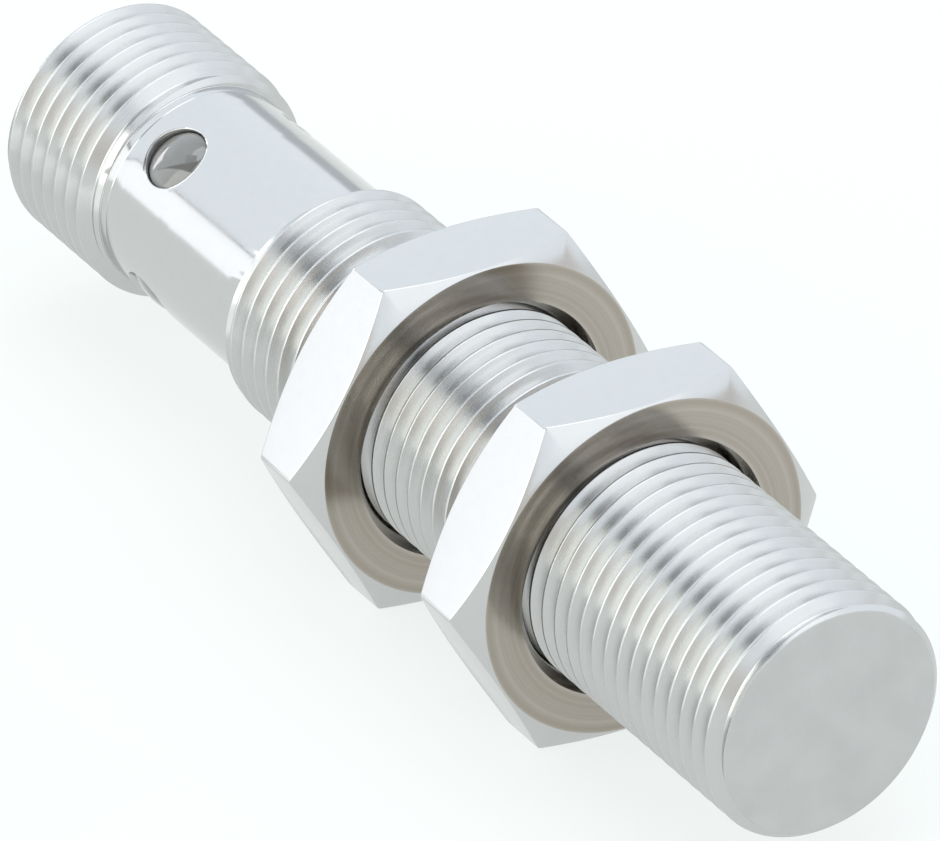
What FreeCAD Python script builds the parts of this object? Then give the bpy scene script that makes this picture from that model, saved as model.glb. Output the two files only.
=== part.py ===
import FreeCAD, Part
import os
import re

import Sketcher
from FreeCAD import Placement, Rotation, Vector

# M12 x 1 inductive proximity sensor with a one-piece stainless housing, two SW17 lock nuts and a
# four-pin M12 plug at the rear.  Millimetres.
# Frame: origin at the centre of the sensing face, +X out of that face, +Z up, and the sensor lies
# level on the bottom flats of its two nuts.
# Every station along the sensor is a distance behind the sensing face, so its X is negative.
# Threads are drawn plain, at their outer diameter.

doc = FreeCAD.newDocument("proximity_sensor")

DIMENSIONS = {
    # housing, outside
    "overall_length": 60.0,
    "thread_dia": 12.0,
    "face_chamfer": 0.45,
    "thread_end": 40.6,
    "neck_dia": 10.54,
    "neck_end": 52.0,
    "plug_thread_start": 52.5,
    "rear_chamfer": 0.4,
    # housing, inside
    "face_wall": 0.6,
    "bore_dia": 9.0,
    "socket_dia": 9.4,
    "socket_step": 51.2,
    # indicator windows through the neck
    "window_dia": 3.2,
    "window_station": 49.4,
    "window_angle": 36.1,
    "lens_recess": 0.15,
    "lens_thickness": 0.5,
    # lock nuts
    "nut_flats": 17.0,
    "nut_thickness": 4.0,
    "nut_bore_dia": 12.06,
    "nut_countersink_dia": 12.8,
    "nut_ring_dia": 16.8,
    "nut_chamfer_angle": 30.0,
    "front_nut_station": 14.7,
    "rear_nut_station": 28.0,
    # ferrite pot core with its coil
    "core_station": 0.8,
    "core_dia": 8.4,
    "core_length": 4.4,
    "core_wall": 0.6,
    "core_back": 1.0,
    "core_post_dia": 2.6,
    "bobbin_bore_dia": 2.8,
    "bobbin_hub_dia": 3.4,
    "bobbin_flange_dia": 6.9,
    "bobbin_flange": 0.35,
    "bobbin_length": 3.2,
    "winding_dia": 6.6,
    "lead_dia": 0.24,
    "lead_offset": 2.6,
    "lead_end": 9.0,
    "lead_hole_dia": 0.8,
    # plastic cup that centres the core and grips the board
    "holder_dia": 8.9,
    "holder_cup": 4.0,
    "holder_disc": 2.2,
    # circuit board
    "board_station": 6.2,
    "board_width": 7.8,
    "board_thickness": 0.8,
    "board_shoulder": 46.8,
    "board_tail_width": 5.6,
    "board_end": 49.6,
    # components
    "ic_side": 4.0,
    "ic_tall": 0.9,
    "driver_length": 4.5,
    "driver_width": 2.5,
    "driver_tall": 1.5,
    "regulator_length": 2.9,
    "regulator_width": 1.6,
    "regulator_tall": 1.1,
    "chip_length": 1.6,
    "chip_width": 0.8,
    "chip_tall": 0.45,
    "capacitor_tall": 0.8,
    "diode_length": 2.7,
    "diode_width": 1.6,
    "diode_tall": 1.0,
    "led_length": 0.8,
    "led_width": 1.6,
    "led_tall": 0.6,
    "ic_station": 12.0,
    "regulator_station": 27.5,
    "driver_station": 33.5,
    "chip_row_station": 18.0,
    "chip_row_offset": 2.4,
    "chip_pitch": 2.3,
    "capacitor_row_station": 12.0,
    "capacitor_pitch": 3.2,
    "diode_station": 34.0,
    "diode_pitch": 4.4,
    "led_station": 47.9,
    "led_offset": 1.8,
    # insulating sleeve and resin
    "sleeve_dia": 8.9,
    "sleeve_wall": 0.15,
    # light ring behind the windows
    "ring_station": 47.2,
    "ring_end": 50.9,
    "ring_dia": 8.9,
    "ring_bore_dia": 6.6,
    # contact carrier, its seal and the four pins
    "carrier_front": 50.0,
    "carrier_face": 53.0,
    "carrier_dia": 9.3,
    "carrier_boss_dia": 6.5,
    "seal_station": 52.1,
    "seal_section": 0.7,
    "seal_groove_width": 0.8,
    "pin_circle_dia": 5.0,
    "pin_dia": 1.0,
    "pin_start": 49.0,
    "pin_stem_dia": 0.6,
    "pin_shoulder_start": 51.4,
    "pin_shoulder_dia": 1.4,
    "pin_end": 58.9,
    "pin_tip_length": 0.35,
    "pin_tip_dia": 0.6,
    "pin_tail_length": 0.5,
    "pin_tail_width": 0.6,
    "key_width": 1.0,
    "key_inner": 3.9,
    "key_outer": 4.6,
    "key_end": 58.6,
}

WINDOW_COUNT = 4
PIN_COUNT = 4

# Bodies are sketched with X as the distance behind the face; half a turn about Z lays that
# direction along -X.
BEHIND_FACE = Placement(Vector(0, 0, 0), Rotation(Vector(0, 0, 1), 180))
ABOUT_X = Rotation(Vector(0, 1, 0), -90)

sheet = doc.addObject("Spreadsheet::Sheet", "Sizes")
for row, (alias, value) in enumerate(DIMENSIONS.items(), start=1):
    sheet.set(f"A{row}", alias)
    sheet.set(f"B{row}", str(value))
    sheet.setAlias(f"B{row}", alias)
doc.recompute()

parts = {}


# ---------------------------------------------------------------- sizes and names


def cell(text):
    """Turn an expression written in plain aliases into one that reads the sheet."""
    return re.sub(r"[a-z_]+", lambda word: "Sizes." + word[0] if word[0] in DIMENSIONS else word[0], text)


def value_of(text):
    return float(sheet.evalExpression(cell(text)))


def bind(obj, **expressions):
    for prop, text in expressions.items():
        obj.setExpression(prop, cell(text))
    return obj


def place(obj, **base):
    """Bind an object's position; each keyword is x, y or z."""
    for axis, text in base.items():
        obj.setExpression(f"Placement.Base.{axis}", cell(text))
    return obj


def keep(obj, label):
    """File an object as a finished sub-part under its node name."""
    obj.Label = label
    parts[label] = obj
    return obj


# ---------------------------------------------------------------- sketched bodies


def origin_feature(body, role):
    return next(f for f in body.Origin.OriginFeatures if f.Role == role)


def new_body(name):
    body = doc.addObject("PartDesign::Body", name)
    body.Placement = BEHIND_FACE
    return body


def new_sketch(body, name, plane):
    sketch = body.newObject("Sketcher::SketchObject", name)
    sketch.AttachmentSupport = (origin_feature(body, plane), [""])
    sketch.MapMode = "FlatFace"
    return sketch


def fix_start(sketch, line, kind, text):
    """Fix where a line starts along one axis, or put it on the other axis where that is zero."""
    if text == "0":
        sketch.addConstraint(Sketcher.Constraint("PointOnObject", line, 1, -2 if kind == "DistanceX" else -1))
        return
    index = sketch.addConstraint(Sketcher.Constraint(kind, -1, 1, line, 1, value_of(text)))
    sketch.renameConstraint(index, f"size{index}")
    sketch.setExpression(f"Constraints.size{index}", cell(text))


def outline(sketch, points):
    """Draw one closed outline from pairs of expressions, each measured from the origin."""
    corners = [Vector(value_of(across), value_of(up), 0) for across, up in points]
    first = sketch.GeometryCount
    count = len(corners)
    for i in range(count):
        sketch.addGeometry(Part.LineSegment(corners[i], corners[(i + 1) % count]), False)
    for i in range(count):
        sketch.addConstraint(Sketcher.Constraint("Coincident", first + i, 2, first + (i + 1) % count, 1))
    for i, (across, up) in enumerate(points):
        fix_start(sketch, first + i, "DistanceX", across)
        fix_start(sketch, first + i, "DistanceY", up)


def round_hole(sketch, across, up, diameter):
    circle = sketch.addGeometry(
        Part.Circle(Vector(value_of(across), value_of(up), 0), Vector(0, 0, 1), value_of(diameter) / 2), False
    )
    for kind, text in (("DistanceX", across), ("DistanceY", up)):
        if text == "0":
            sketch.addConstraint(Sketcher.Constraint("PointOnObject", circle, 3, -2 if kind == "DistanceX" else -1))
            continue
        index = sketch.addConstraint(Sketcher.Constraint(kind, -1, 1, circle, 3, value_of(text)))
        sketch.renameConstraint(index, f"place{index}")
        sketch.setExpression(f"Constraints.place{index}", cell(text))
    index = sketch.addConstraint(Sketcher.Constraint("Diameter", circle, value_of(diameter)))
    sketch.renameConstraint(index, "diameter")
    sketch.setExpression("Constraints.diameter", cell(diameter))


def turned(body, name, points, cut=False):
    """Revolve an outline about the sensor's axis, as a solid or as a cut."""
    sketch = new_sketch(body, name + "_outline", "XY_Plane")
    outline(sketch, points)
    feature = body.newObject("PartDesign::Groove" if cut else "PartDesign::Revolution", name)
    feature.Profile = sketch
    feature.ReferenceAxis = (origin_feature(body, "X_Axis"), [""])
    feature.Angle = 360
    doc.recompute()
    return feature


def drilled(body, name, plane, across, up, diameter, depth):
    """Cut one round hole through a body from its own middle plane outwards."""
    before = body.Shape.Volume
    sketch = new_sketch(body, name + "_circle", plane)
    round_hole(sketch, across, up, diameter)
    pocket = body.newObject("PartDesign::Pocket", name)
    pocket.Profile = sketch
    pocket.setExpression("Length", cell(depth))
    doc.recompute()
    if not body.Shape.Volume < before - 1e-6:
        pocket.Reversed = True
        doc.recompute()
    if not body.Shape.Volume < before - 1e-6:
        raise RuntimeError(name + " cuts nothing")
    return pocket


def around(body, name, feature, count):
    """Repeat a feature evenly about the sensor's axis."""
    pattern = body.newObject("PartDesign::PolarPattern", name)
    pattern.Originals = [feature]
    pattern.Axis = (origin_feature(body, "X_Axis"), [""])
    pattern.Angle = 360
    pattern.Occurrences = count
    body.Tip = pattern
    doc.recompute()
    return pattern


# ---------------------------------------------------------------- plain solids


def block(name, low, length, width, height):
    """A box whose corner nearest the rear, low Y and low Z is at low."""
    box = bind(doc.addObject("Part::Box", name), Length=length, Width=width, Height=height)
    return place(box, x=low[0], y=low[1], z=low[2])


def rod(name, start, length, diameter, y="0", z="0"):
    """A round bar along the sensor's axis, running rearwards from its start station."""
    bar = bind(doc.addObject("Part::Cylinder", name), Radius=f"({diameter})/2", Height=length)
    bar.Placement = Placement(Vector(0, 0, 0), ABOUT_X)
    return place(bar, x=f"-({start})", y=y, z=z)


def cut(name, base, tool):
    result = doc.addObject("Part::Cut", name)
    result.Base = base
    result.Tool = tool
    return result


def fused(name, pieces):
    result = doc.addObject("Part::MultiFuse", name)
    result.Shapes = pieces
    return result


def group(name, pieces):
    """Separate solids that share one node."""
    result = doc.addObject("Part::Compound", name)
    result.Links = pieces
    return result


# ---------------------------------------------------------------- metal pieces


def make_housing():
    """One turned shell: closed sensing end, threaded barrel, plain neck, threaded plug end."""
    body = new_body("housing_body")
    body.Placement = Placement(
        Vector(0, 0, 0), Rotation(Vector(1, 0, 0), value_of("window_angle")).multiply(BEHIND_FACE.Rotation)
    )
    turned(body, "shell", [
        ("0", "0"),
        ("0", "thread_dia/2 - face_chamfer"),
        ("face_chamfer", "thread_dia/2"),
        ("thread_end", "thread_dia/2"),
        ("thread_end + (thread_dia - neck_dia)/4", "neck_dia/2"),
        ("neck_end", "neck_dia/2"),
        ("plug_thread_start", "thread_dia/2"),
        ("overall_length - rear_chamfer", "thread_dia/2"),
        ("overall_length", "thread_dia/2 - rear_chamfer"),
        ("overall_length", "socket_dia/2"),
        ("socket_step", "socket_dia/2"),
        ("socket_step", "bore_dia/2"),
        ("face_wall", "bore_dia/2"),
        ("face_wall", "0"),
    ])
    window = drilled(body, "window", "XY_Plane", "window_station", "0", "window_dia", "thread_dia")
    around(body, "windows", window, WINDOW_COUNT)
    return keep(body, "housing")


def make_nut(label, station):
    """Hexagon nut, 30 degree corner chamfers on both faces, bore countersunk on both sides.
    The bore is drawn at the size that clears the thread's crests."""
    body = new_body(label + "_body")
    corner = "nut_flats/sqrt(3)"
    half = "nut_flats/(2*sqrt(3))"
    flat = "nut_flats/2"
    hexagon = new_sketch(body, label + "_hexagon", "YZ_Plane")
    outline(hexagon, [
        (corner, "0"),
        (half, flat),
        ("-" + half, flat),
        ("-" + corner, "0"),
        ("-" + half, "-" + flat),
        (half, "-" + flat),
    ])
    hexagon.AttachmentOffset = Placement(Vector(0, 0, value_of(station)), Rotation())
    hexagon.setExpression("AttachmentOffset.Base.z", cell(station))
    pad = body.newObject("PartDesign::Pad", label + "_bar")
    pad.Profile = hexagon
    pad.setExpression("Length", cell("nut_thickness"))
    doc.recompute()
    far = station + " + nut_thickness"
    rim = f"{corner} + 1"
    drop = f"({rim} - nut_ring_dia/2)*tan(nut_chamfer_angle*1deg)"
    for end, face, inward in (("front", station, "+"), ("rear", far, "-")):
        turned(body, f"{label}_{end}_chamfer", [
            (face, "nut_ring_dia/2"),
            (f"{face} {inward} {drop}", rim),
            (face, rim),
        ], cut=True)
    sink = "(nut_countersink_dia - nut_bore_dia)/2"
    turned(body, label + "_bore", [
        (station, "0"),
        (station, "nut_countersink_dia/2"),
        (f"{station} + {sink}", "nut_bore_dia/2"),
        (f"{far} - {sink}", "nut_bore_dia/2"),
        (far, "nut_countersink_dia/2"),
        (far, "0"),
    ], cut=True)
    return keep(body, label)


# ---------------------------------------------------------------- sensing head


def make_core():
    """Ferrite pot core, open towards the face, with two holes in its back for the coil's leads."""
    body = new_body("core_body")
    end = "core_station + core_length"
    turned(body, "pot", [
        ("core_station", "0"),
        ("core_station", "core_post_dia/2"),
        (f"{end} - core_back", "core_post_dia/2"),
        (f"{end} - core_back", "core_dia/2 - core_wall"),
        ("core_station", "core_dia/2 - core_wall"),
        ("core_station", "core_dia/2"),
        (end, "core_dia/2"),
        (end, "0"),
    ])
    hole = lead_hole(body, "core_lead_hole")
    around(body, "core_lead_holes", hole, 2)
    return keep(body, "ferrite_core")


def lead_hole(body, name):
    return drilled(
        body, name, "YZ_Plane", "lead_offset", "board_thickness/2 + lead_dia/2", "lead_hole_dia",
        "board_station + 2",
    )


def make_bobbin():
    body = new_body("bobbin_body")
    end = "core_station + 0.1 + bobbin_length"
    front = "core_station + 0.1"
    turned(body, "spool", [
        (front, "bobbin_bore_dia/2"),
        (front, "bobbin_flange_dia/2"),
        (f"{front} + bobbin_flange", "bobbin_flange_dia/2"),
        (f"{front} + bobbin_flange", "bobbin_hub_dia/2"),
        (f"{end} - bobbin_flange", "bobbin_hub_dia/2"),
        (f"{end} - bobbin_flange", "bobbin_flange_dia/2"),
        (end, "bobbin_flange_dia/2"),
        (end, "bobbin_bore_dia/2"),
    ])
    return keep(body, "coil_bobbin")


def make_winding():
    """The coil's turns as one ring of copper, filling the bobbin between its flanges."""
    start = "core_station + 0.1 + bobbin_flange"
    ring = tube("winding_ring", start, "bobbin_length - 2*bobbin_flange", "winding_dia", "bobbin_hub_dia")
    return keep(ring, "coil_winding")


def make_leads():
    """Two straight lead wires, one over each side of the board, from the bobbin to their pads."""
    start = "core_station + 0.1 + bobbin_length"
    height = "(board_thickness + lead_dia)/2"
    wires = []
    for index, side in enumerate(("-", "")):
        across = f"{side}lead_offset"
        up = height if side else f"-{height}"
        wires.append(rod(f"lead_{index + 1}", start, f"lead_end - ({start})", "lead_dia", y=across, z=up))
    return keep(group("lead_pair", wires), "coil_leads")


def make_holder():
    body = new_body("holder_body")
    back = "core_station + core_length"
    turned(body, "cup", [
        (f"{back} - holder_cup", "core_dia/2"),
        (f"{back} - holder_cup", "holder_dia/2"),
        (f"{back} + holder_disc", "holder_dia/2"),
        (f"{back} + holder_disc", "0"),
        (back, "0"),
        (back, "core_dia/2"),
    ])
    hole = lead_hole(body, "holder_lead_hole")
    around(body, "holder_lead_holes", hole, 2)
    slot = block(
        "board_slot", (f"-({back} + holder_disc)", "-board_width/2", "-board_thickness/2"),
        f"{back} + holder_disc - board_station", "board_width", "board_thickness",
    )
    return keep(cut("slotted_cup", body, slot), "core_holder")


# ---------------------------------------------------------------- circuit board


def make_board():
    """Flat board with a narrow tail that reaches through the light ring to the contact pins."""
    body = new_body("board_body")
    sketch = new_sketch(body, "board_outline", "XY_Plane")
    outline(sketch, [
        ("board_station", "-board_width/2"),
        ("board_shoulder", "-board_width/2"),
        ("board_shoulder", "-board_tail_width/2"),
        ("board_end", "-board_tail_width/2"),
        ("board_end", "board_tail_width/2"),
        ("board_shoulder", "board_tail_width/2"),
        ("board_shoulder", "board_width/2"),
        ("board_station", "board_width/2"),
    ])
    pad = body.newObject("PartDesign::Pad", "board_sheet")
    pad.Profile = sketch
    pad.Midplane = True
    pad.setExpression("Length", cell("board_thickness"))
    doc.recompute()
    return keep(body, "circuit_board")


def component(name, station, across, length, width, tall, underside=False):
    """A package soldered to one side of the board, centred at a distance across it."""
    up = f"-board_thickness/2 - {tall}" if underside else "board_thickness/2"
    return block(name, (f"-({station} + {length})", f"{across} - {width}/2", up), length, width, tall)


def make_components():
    keep(component("ic_package", "ic_station", "0", "ic_side", "ic_side", "ic_tall"), "sensor_ic")
    keep(
        component("regulator_package", "regulator_station", "0", "regulator_length", "regulator_width",
                  "regulator_tall"),
        "voltage_regulator",
    )
    keep(
        component("driver_package", "driver_station", "0", "driver_length", "driver_width", "driver_tall"),
        "output_driver",
    )
    resistors = [
        component(f"resistor_{side}{i + 1}", f"chip_row_station + {i}*chip_pitch", f"{sign}chip_row_offset",
                  "chip_length", "chip_width", "chip_tall")
        for side, sign in (("left", ""), ("right", "-"))
        for i in range(4)
    ]
    keep(group("resistor_set", resistors), "chip_resistors")
    capacitors = [
        component(f"capacitor_{i + 1}", f"capacitor_row_station + {i}*capacitor_pitch", "0",
                  "chip_length", "chip_width", "capacitor_tall", underside=True)
        for i in range(6)
    ]
    keep(group("capacitor_set", capacitors), "chip_capacitors")
    diodes = [
        component(f"diode_{i + 1}", f"diode_station + {i}*diode_pitch", "0", "diode_length", "diode_width",
                  "diode_tall", underside=True)
        for i in range(2)
    ]
    keep(group("diode_pair", diodes), "protection_diodes")
    leds = [
        component(f"led_{side}_{level}", "led_station", f"{sign}led_offset", "led_length", "led_width",
                  "led_tall", underside=level == "under")
        for side, sign in (("left", ""), ("right", "-"))
        for level in ("over", "under")
    ]
    keep(group("led_set", leds), "status_leds")


def tube(name, start, length, outer, inner):
    return cut(name, rod(name + "_outside", start, length, outer), rod(name + "_inside", start, length, inner))


def make_sleeve_and_resin():
    """Insulating sleeve against the bore, and the resin that fills it round the board."""
    start = "core_station + core_length + holder_disc"
    length = f"ring_station - ({start})"
    inner = "sleeve_dia - 2*sleeve_wall"
    keep(tube("sleeve", start, length, "sleeve_dia", inner), "insulating_sleeve")
    resin = rod("resin_column", start, length, inner)
    for name in ("circuit_board", "coil_leads", "sensor_ic", "voltage_regulator", "output_driver",
                 "chip_resistors", "chip_capacitors", "protection_diodes"):
        resin = cut("resin_round_" + name, resin, parts[name])
    keep(resin, "potting_compound")


# ---------------------------------------------------------------- indicator


def make_indicator():
    """Clear ring that spreads the light, and one curved lens in each window of the neck."""
    ring = tube("light_spreader", "ring_station", "ring_end - ring_station", "ring_dia", "ring_bore_dia")
    keep(ring, "light_ring")
    lens_outer = "neck_dia - 2*lens_recess"
    shell = tube("lens_shell", "window_station - window_dia", "2*window_dia", lens_outer,
                 f"{lens_outer} - 2*lens_thickness")
    for index in range(WINDOW_COUNT):
        plug = bind(doc.addObject("Part::Cylinder", f"lens_plug_{index + 1}"), Radius="window_dia/2",
                    Height="neck_dia")
        plug.Placement = Placement(Vector(0, 0, 0), Rotation(Vector(1, 0, 0), 1))
        turn = 360.0 / WINDOW_COUNT * index - 90.0
        bind(plug, **{"Placement.Rotation.Angle": f"window_angle + {turn}"})
        place(plug, x="-window_station")
        lens = doc.addObject("Part::Common", f"lens_{index + 1}")
        lens.Base = plug
        lens.Tool = shell
        keep(lens, f"window_lens_{index + 1}")


# ---------------------------------------------------------------- plug insert


def pin_places():
    """Each pin's Y and Z."""
    off_axis = "pin_circle_dia/(2*sqrt(2))"
    return ((off_axis, off_axis), ("-" + off_axis, off_axis), ("-" + off_axis, "-" + off_axis),
            (off_axis, "-" + off_axis))


def pin_shoulder(name, across, up):
    """The thick part of a pin that the insert is moulded round."""
    return rod(name, "pin_shoulder_start", "carrier_face - pin_shoulder_start", "pin_shoulder_dia", y=across, z=up)


def make_carrier():
    """Moulded insert that holds the pins, with a groove for its seal and the coding key."""
    body = new_body("carrier_body")
    groove_bottom = "socket_dia/2 - seal_section"
    turned(body, "insert", [
        ("carrier_front", "0"),
        ("carrier_front", "carrier_boss_dia/2"),
        ("socket_step", "carrier_boss_dia/2"),
        ("socket_step", "carrier_dia/2"),
        ("seal_station - seal_groove_width/2", "carrier_dia/2"),
        ("seal_station - seal_groove_width/2", groove_bottom),
        ("seal_station + seal_groove_width/2", groove_bottom),
        ("seal_station + seal_groove_width/2", "carrier_dia/2"),
        ("carrier_face", "carrier_dia/2"),
        ("carrier_face", "0"),
    ])
    off_axis = "pin_circle_dia/(2*sqrt(2))"
    hole = drilled(body, "stem_hole", "YZ_Plane", off_axis, off_axis, "pin_stem_dia", "overall_length")
    around(body, "stem_holes", hole, PIN_COUNT)
    key = block("coding_key", ("-key_end", "-key_width/2", "key_inner"), "key_end - carrier_face", "key_width",
                "key_outer - key_inner")
    insert = fused("keyed_insert", [body, key])
    for index, (across, up) in enumerate(pin_places(), start=1):
        insert = cut(f"insert_seat_{index}", insert, pin_shoulder(f"pin_seat_{index}", across, up))
    keep(insert, "contact_carrier")
    seal = bind(doc.addObject("Part::Torus", "seal_ring"), Radius1="(socket_dia - seal_section)/2",
                Radius2="seal_section/2")
    seal.Placement = Placement(Vector(0, 0, 0), ABOUT_X)
    keep(place(seal, x="-seal_station"), "carrier_seal")


def make_pins():
    """Contact pins on their circle, each with a thin stem, a shoulder moulded into the insert, a
    tapered tip and a solder tail on the board."""
    for index, (across, up) in enumerate(pin_places(), start=1):
        stem = rod(f"pin_stem_{index}", "pin_start", "pin_shoulder_start - pin_start", "pin_stem_dia", y=across, z=up)
        shoulder = pin_shoulder(f"pin_shoulder_{index}", across, up)
        contact = rod(f"pin_contact_{index}", "carrier_face", "pin_end - pin_tip_length - carrier_face", "pin_dia",
                      y=across, z=up)
        tip = bind(doc.addObject("Part::Cone", f"pin_tip_{index}"), Radius1="pin_dia/2", Radius2="pin_tip_dia/2",
                   Height="pin_tip_length")
        tip.Placement = Placement(Vector(0, 0, 0), ABOUT_X)
        place(tip, x="-(pin_end - pin_tip_length)", y=across, z=up)
        low = up if up.startswith("-") else "board_thickness/2"
        tail = block(f"pin_tail_{index}", ("-(pin_start + pin_tail_length)", f"{across} - pin_tail_width/2", low),
                     "pin_tail_length", "pin_tail_width", "pin_circle_dia/(2*sqrt(2)) - board_thickness/2")
        keep(fused(f"pin_{index}", [stem, shoulder, contact, tip, tail]), f"contact_pin_{index}")


# ---------------------------------------------------------------- build, check and write


def check_document():
    doc.recompute()
    for obj in doc.Objects:
        bad = [word for word in obj.State if word in ("Invalid", "Error")]
        if bad:
            raise RuntimeError(f"{obj.Label} failed: {bad}")
    for label, obj in parts.items():
        if obj.Shape.isNull() or not obj.Shape.isValid() or not obj.Shape.Solids:
            raise RuntimeError(f"{label} has no valid solid")


def write_steps():
    os.makedirs("parts", exist_ok=True)
    for label, obj in parts.items():
        obj.Shape.exportStep(f"parts/{label}.step")
        box = obj.Shape.BoundBox
        print(f"{label:18s} solids {len(obj.Shape.Solids)}  volume {obj.Shape.Volume:9.3f} mm3  "
              f"X {box.XMin:7.2f} to {box.XMax:7.2f}")


make_housing()
make_nut("front_nut", "front_nut_station")
make_nut("rear_nut", "rear_nut_station")
make_core()
make_bobbin()
make_winding()
make_leads()
make_holder()
make_board()
make_components()
make_sleeve_and_resin()
make_indicator()
make_carrier()
make_pins()
check_document()
write_steps()
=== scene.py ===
import math

import bpy
import bmesh
from mathutils import Matrix, Vector


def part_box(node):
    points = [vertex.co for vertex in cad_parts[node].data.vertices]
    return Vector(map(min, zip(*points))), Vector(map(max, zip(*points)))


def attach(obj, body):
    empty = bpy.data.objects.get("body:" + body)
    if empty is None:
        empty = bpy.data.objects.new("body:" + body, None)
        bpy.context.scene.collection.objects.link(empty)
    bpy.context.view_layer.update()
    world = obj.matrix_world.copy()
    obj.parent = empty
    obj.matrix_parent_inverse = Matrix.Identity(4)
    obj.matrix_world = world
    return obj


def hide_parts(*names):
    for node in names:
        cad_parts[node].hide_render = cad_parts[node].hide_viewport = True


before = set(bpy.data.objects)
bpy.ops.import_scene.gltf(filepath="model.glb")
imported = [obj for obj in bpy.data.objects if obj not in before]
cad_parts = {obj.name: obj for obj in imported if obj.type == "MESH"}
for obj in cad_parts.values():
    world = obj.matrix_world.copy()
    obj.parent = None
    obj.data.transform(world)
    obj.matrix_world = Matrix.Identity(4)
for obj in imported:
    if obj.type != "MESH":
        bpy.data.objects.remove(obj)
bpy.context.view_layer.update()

# Everything below is worked out in millimetres in the frame's axes: +X out of the sensing face,
# +Z up.  "behind" is a distance behind the sensing face, "turn" an angle about X from +Y to +Z.
MM = 0.001

# ---------------------------------------------------------------- sizes read from the frame


def span_mm(node):
    low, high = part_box(node)
    return [c / MM for c in low], [c / MM for c in high]


housing_low, housing_high = span_mm("housing")
front_nut_low, front_nut_high = span_mm("front_nut")
_, rear_nut_high = span_mm("rear_nut")
insert_low, insert_high = span_mm("contact_carrier")
pin_low, pin_high = span_mm("contact_pin_1")
lens_low, lens_high = span_mm("window_lens_1")

OVERALL = -housing_low[0]
CREST = housing_high[1]
FLOOR = front_nut_low[2]
NUT_HALF_FLATS = -FLOOR
NUT_THICK = front_nut_high[0] - front_nut_low[0]

# ---------------------------------------------------------------- sizes of the detailed shapes

PITCH = 1.0
THREAD_DEPTH = 0.58 * PITCH
THREAD_ROUND = 0.09
THREAD_RUNNING_GAP = 0.06
BARREL_THREAD_PHASE = 0.34
PLUG_THREAD_PHASE = 0.77
FACE_CHAMFER = 0.45
BARREL_THREAD_END = 40.6
BARREL_RUN_OUT = 0.37
NECK = 5.27
NECK_LINE = 51.9
NECK_END = 52.4
PLUG_THREAD_START = 52.85
REAR_ROUND = 0.4
REAR_STATIONS = 12
FACE_WALL = 0.6
BORE = 4.5
SOCKET = 4.7
SOCKET_STEP = 51.2

WINDOW_RADIUS = 1.6
WINDOW_BEHIND = -(lens_low[0] + lens_high[0]) / 2
WINDOW_TURN = math.radians(36.1)
WINDOW_EDGE = 0.06
LENS_TOP = NECK + 0.03
LENS_DOME = 3.1
WINDOWS = 4
WINDOW_ZONE = (47.0, 51.15)

COLUMNS = 144
COLUMNS_PER_WINDOW = COLUMNS // WINDOWS
FIRST_TURN = WINDOW_TURN - math.pi / WINDOWS

# ---------------------------------------------------------------- mesh helpers


def at(behind, radius, turn):
    return (-behind * MM, radius * math.cos(turn) * MM, radius * math.sin(turn) * MM)


class Shell:
    """Collects vertices and faces, and turns them into one clean, closed mesh object."""

    def __init__(self):
        self.points = []
        self.faces = []

    def ring(self, points):
        start = len(self.points)
        self.points.extend(points)
        return list(range(start, start + len(points)))

    def join(self, first, second):
        """Quads between two closed rings of the same length."""
        count = len(first)
        for i in range(count):
            j = (i + 1) % count
            self.faces.append((first[i], first[j], second[j], second[i]))

    def cap(self, ring, centre):
        middle = self.ring([centre])[0]
        for i in range(len(ring)):
            self.faces.append((ring[i], ring[(i + 1) % len(ring)], middle))

    def build(self, name, sharp_above=32.0):
        mesh = bpy.data.meshes.new(name)
        mesh.from_pydata(self.points, [], self.faces)
        work = bmesh.new()
        work.from_mesh(mesh)
        bmesh.ops.remove_doubles(work, verts=work.verts, dist=1e-7)
        bmesh.ops.dissolve_degenerate(work, edges=work.edges, dist=1e-7)
        bmesh.ops.recalc_face_normals(work, faces=work.faces)
        work.to_mesh(mesh)
        work.free()
        mesh.polygons.foreach_set("use_smooth", [True] * len(mesh.polygons))
        mesh.set_sharp_from_angle(angle=math.radians(sharp_above))
        piece = bpy.data.objects.new(name, mesh)
        bpy.context.scene.collection.objects.link(piece)
        return piece


def rounded(points, radius, steps=3):
    """A polyline of (behind, radius) pairs with its inner corners rounded."""
    out = [points[0]]
    for before, corner, after in zip(points, points[1:], points[2:]):
        a = Vector((before[0] - corner[0], before[1] - corner[1]))
        b = Vector((after[0] - corner[0], after[1] - corner[1]))
        if a.length < 1e-6 or b.length < 1e-6:
            out.extend([corner] * (steps + 1))
            continue
        half = a.angle(b) / 2
        reach = min(radius / max(math.tan(half), 1e-3), 0.45 * a.length, 0.45 * b.length)
        start = Vector(corner) + a.normalized() * reach
        end = Vector(corner) + b.normalized() * reach
        for i in range(steps + 1):
            t = i / steps
            blend = start * (1 - t) ** 2 + Vector(corner) * 2 * t * (1 - t) + end * t * t
            out.append((blend.x, blend.y))
    out.append(points[-1])
    return out


# ---------------------------------------------------------------- thread form

CREST_FLAT = PITCH / 8
ROOT_FLAT = PITCH - CREST_FLAT - 2 * THREAD_DEPTH * math.tan(math.radians(30))


def thread_form():
    """One pitch of the external thread as (phase, depth below the crest), starting mid-crest."""
    flank = THREAD_DEPTH * math.tan(math.radians(30))
    corners = [
        (0.0, 0.0),
        (CREST_FLAT / 2, 0.0),
        (CREST_FLAT / 2 + flank, THREAD_DEPTH),
        (CREST_FLAT / 2 + flank + ROOT_FLAT, THREAD_DEPTH),
        (PITCH - CREST_FLAT / 2, 0.0),
        (PITCH, 0.0),
    ]
    return rounded(corners, THREAD_ROUND, steps=4)[:-1]


THREAD_FORM = thread_form()


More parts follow.
